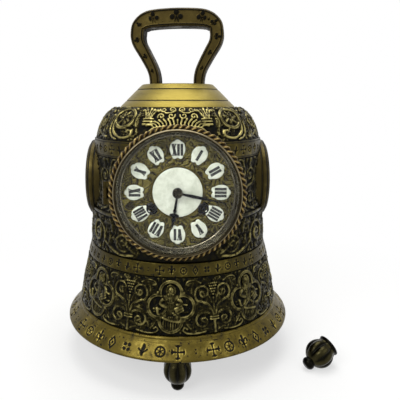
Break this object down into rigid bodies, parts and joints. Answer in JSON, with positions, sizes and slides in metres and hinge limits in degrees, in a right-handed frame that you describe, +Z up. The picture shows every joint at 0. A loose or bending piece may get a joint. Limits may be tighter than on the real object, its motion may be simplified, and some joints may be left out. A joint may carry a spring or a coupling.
{
  "type": "bell-form table clock",
  "caption": "Table clock in the form of a bell, with a hinged rope-twist bezel, an enamel plaque dial, a stirrup handle and a pendulum movement.",
  "frame": {"origin": "centre of the bounding box's bottom, on the surface that the feet stand on", "axes": "+Z up along the bell's axis, the dial looks along -Y, +X to the viewer's right"},
  "size_m": [0.2414, 0.2088, 0.3129],
  "materials": {
    "old_gold_brass": "old gilt brass, satin, dark in the recesses",
    "relief_bronze": "patinated bronze, cast relief",
    "polished_brass": "polished brass",
    "dark_bronze": "dark olive bronze, satin",
    "foot_bronze": "nearly black bronze, satin",
    "dial_bronze": "engraved olive brown bronze",
    "bezel_gold": "gilt brass, polished",
    "movement_brass": "bright clock brass",
    "white_enamel": "white enamel, glossy",
    "plaque_enamel": "white enamel with black numerals, glossy",
    "blued_steel": "blued steel",
    "bright_steel": "bright steel",
    "silvered_brass": "silvered brass, satin",
    "clear_glass": "clear crowned glass"
  },
  "bodies": {
    "case": {"lip_ring": "old_gold_brass", "skirt_shell": "relief_bronze", "waist_band": "old_gold_brass", "body_shell": "relief_bronze", "crown_cap": "polished_brass", "handle": "dark_bronze", "handle_nut_left": "bright_steel", "handle_nut_right": "bright_steel", "roundel_frame_left": "old_gold_brass", "roundel_frame_right": "old_gold_brass", "roundel_panel_left": "relief_bronze", "roundel_panel_right": "relief_bronze", "front_ring": "dark_bronze", "back_ring": "dark_bronze", "front_foot": "foot_bronze", "rear_right_foot": "foot_bronze", "rear_left_foot": "foot_bronze", "loose_foot": "foot_bronze", "dial_plate": "dial_bronze", "enamel_centre": "white_enamel", "numeral_plaque_1": "plaque_enamel", "numeral_plaque_2": "plaque_enamel", "numeral_plaque_3": "plaque_enamel", "numeral_plaque_4": "plaque_enamel", "numeral_plaque_5": "plaque_enamel", "numeral_plaque_6": "plaque_enamel", "numeral_plaque_7": "plaque_enamel", "numeral_plaque_8": "plaque_enamel", "numeral_plaque_9": "plaque_enamel", "numeral_plaque_10": "plaque_enamel", "numeral_plaque_11": "plaque_enamel", "numeral_plaque_12": "plaque_enamel", "strap_left": "bright_steel", "strap_right": "bright_steel", "front_plate": "movement_brass", "back_plate": "movement_brass", "suspension_cock": "movement_brass", "strike_bell": "movement_brass", "bezel_hinge_pin": "bright_steel", "door_hinge_pin": "bright_steel"},
    "bezel": {"rope_bezel": "bezel_gold", "bezel_glass": "clear_glass", "sight_ring": "silvered_brass"},
    "door": {"back_door": "old_gold_brass"},
    "minute": {"minute_hand": "blued_steel", "cannon_pinion": "bright_steel", "hand_nut": "dark_bronze"},
    "hour": {"hour_hand": "blued_steel", "hour_wheel": "movement_brass"},
    "minute_wheel": {"minute_wheel": "movement_brass"},
    "centre": {"centre_wheel": "movement_brass"},
    "third": {"third_wheel": "movement_brass"},
    "escape": {"escape_wheel": "movement_brass"},
    "going_barrel": {"going_barrel": "movement_brass"},
    "strike_barrel": {"strike_barrel": "movement_brass"},
    "going_arbor": {"going_winding_arbor": "bright_steel"},
    "strike_arbor": {"strike_winding_arbor": "bright_steel"},
    "anchor": {"anchor": "bright_steel"},
    "pendulum": {"pendulum": "movement_brass"},
    "hammer": {"hammer": "bright_steel"}
  },
  "joints": [
    {"name": "bezel_hinge", "type": "hinge", "parent": "case", "child": "bezel", "pos_m": [-0.07295, -0.08115, 0.1566], "axis": [0, 0, -1], "range_deg": [0, 110]},
    {"name": "door_hinge", "type": "hinge", "parent": "case", "child": "door", "pos_m": [0.04035, 0.08115, 0.1566], "axis": [0, 0, -1], "range_deg": [0, 110]},
    {"name": "minute_hand_turn", "type": "hinge", "parent": "case", "child": "minute", "pos_m": [-0.0163, -0.08, 0.1566], "axis": [0, 1, 0], "continuous": true},
    {"name": "hour_hand_turn", "type": "hinge", "parent": "case", "child": "hour", "pos_m": [-0.0163, -0.08, 0.1566], "axis": [0, 1, 0], "continuous": true},
    {"name": "minute_wheel_turn", "type": "hinge", "parent": "case", "child": "minute_wheel", "pos_m": [-0.00502, -0.08, 0.1607], "axis": [0, 1, 0], "continuous": true},
    {"name": "third_wheel_turn", "type": "hinge", "parent": "case", "child": "third", "pos_m": [-0.02031, -0.08, 0.17033], "axis": [0, 1, 0], "continuous": true},
    {"name": "centre_wheel_turn", "type": "hinge", "parent": "case", "child": "centre", "pos_m": [-0.0163, -0.08, 0.1566], "axis": [0, 1, 0], "continuous": true},
    {"name": "escape_wheel_turn", "type": "hinge", "parent": "case", "child": "escape", "pos_m": [-0.0163, -0.08, 0.1796], "axis": [0, 1, 0], "continuous": true},
    {"name": "going_barrel_turn", "type": "hinge", "parent": "case", "child": "going_barrel", "pos_m": [0.0043, -0.08, 0.1436], "axis": [0, 1, 0], "continuous": true},
    {"name": "strike_barrel_turn", "type": "hinge", "parent": "case", "child": "strike_barrel", "pos_m": [-0.0369, -0.08, 0.1436], "axis": [0, 1, 0], "continuous": true},
    {"name": "going_winding", "type": "hinge", "parent": "case", "child": "going_arbor", "pos_m": [0.0043, -0.08, 0.1436], "axis": [0, 1, 0], "continuous": true},
    {"name": "strike_winding", "type": "hinge", "parent": "case", "child": "strike_arbor", "pos_m": [-0.0369, -0.08, 0.1436], "axis": [0, 1, 0], "continuous": true},
    {"name": "pendulum_swing", "type": "hinge", "parent": "case", "child": "pendulum", "pos_m": [-0.0163, -0.034, 0.191], "axis": [0, 1, 0], "range_deg": [-4, 4]},
    {"name": "anchor_swing", "type": "hinge", "parent": "case", "child": "anchor", "pos_m": [-0.0163, -0.034, 0.191], "axis": [0, 1, 0], "range_deg": [-5, 5]},
    {"name": "hammer_lift", "type": "hinge", "parent": "case", "child": "hammer", "pos_m": [0.0137, -0.02, 0.1256], "axis": [0, 1, 0], "range_deg": [0, 12], "stiffness_Nm_per_rad": 0.01, "springref_deg": -28.65}
  ],
  "couplings": [
    {"joint": "hour_hand_turn", "follows": "minute_hand_turn", "ratio": 0.083333},
    {"joint": "minute_wheel_turn", "follows": "minute_hand_turn", "ratio": -0.33333},
    {"joint": "centre_wheel_turn", "follows": "third_wheel_turn", "ratio": -0.16667},
    {"joint": "escape_wheel_turn", "follows": "third_wheel_turn", "ratio": -6},
    {"joint": "going_barrel_turn", "follows": "third_wheel_turn", "ratio": 0.041667},
    {"joint": "anchor_swing", "follows": "pendulum_swing", "ratio": 1}
  ]
}
